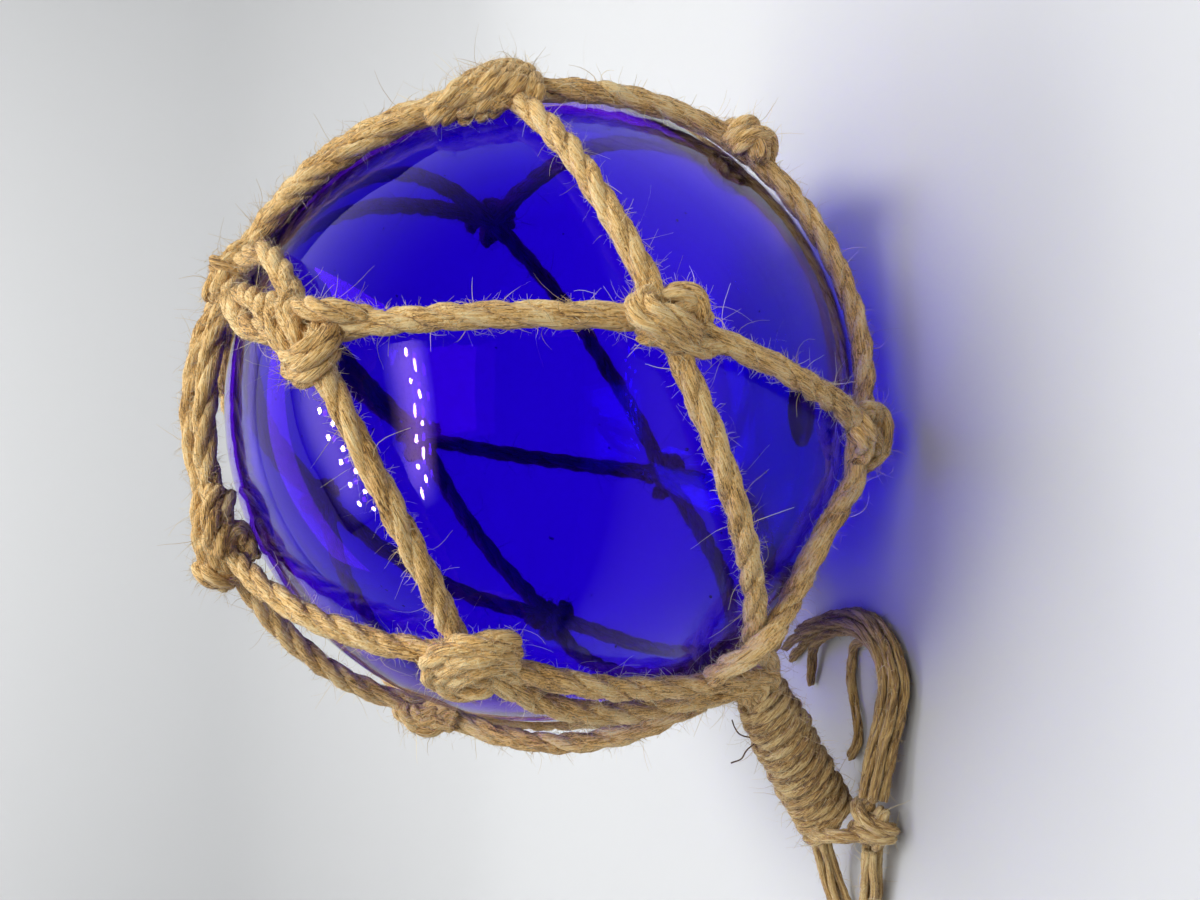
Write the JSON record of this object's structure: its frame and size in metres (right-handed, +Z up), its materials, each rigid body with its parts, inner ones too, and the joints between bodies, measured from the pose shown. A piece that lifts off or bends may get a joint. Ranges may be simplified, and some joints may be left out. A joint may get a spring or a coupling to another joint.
{
  "type": "glass float ball",
  "caption": "Hollow blown glass float ball in a knotted rope net, with a whipped neck, a hanging loop and a loose yarn tail, lying on its side.",
  "frame": {"origin": "centre of the small flat that the glass ball rests on", "axes": "+Z up from the floor the ball lies on, +X to the right as the ball is looked at with the neck at the lower left, +Y away from that viewer"},
  "size_m": [0.2051, 0.1639, 0.158],
  "materials": {
    "cobalt_glass": "clear deep blue blown glass, smooth and glossy, with fine seed bubbles",
    "jute_rope": "three-strand laid jute rope, matt and hairy",
    "jute_yarn": "unlaid jute yarn, matt, loose and fuzzy"
  },
  "bodies": {
    "root": {"glass_ball": "cobalt_glass", "rope_net": "jute_rope", "neck_whipping": "jute_rope", "end_knot": "jute_rope", "hanging_loop": "jute_yarn", "tail_yarn_middle": "jute_yarn", "tail_yarn_top": "jute_yarn", "tail_yarn_upper_inner": "jute_yarn", "tail_yarn_lower_inner": "jute_yarn", "tail_yarn_bottom": "jute_yarn", "tail_yarn_lower_outer": "jute_yarn", "tail_yarn_upper_outer": "jute_yarn"}
  },
  "joints": []
}
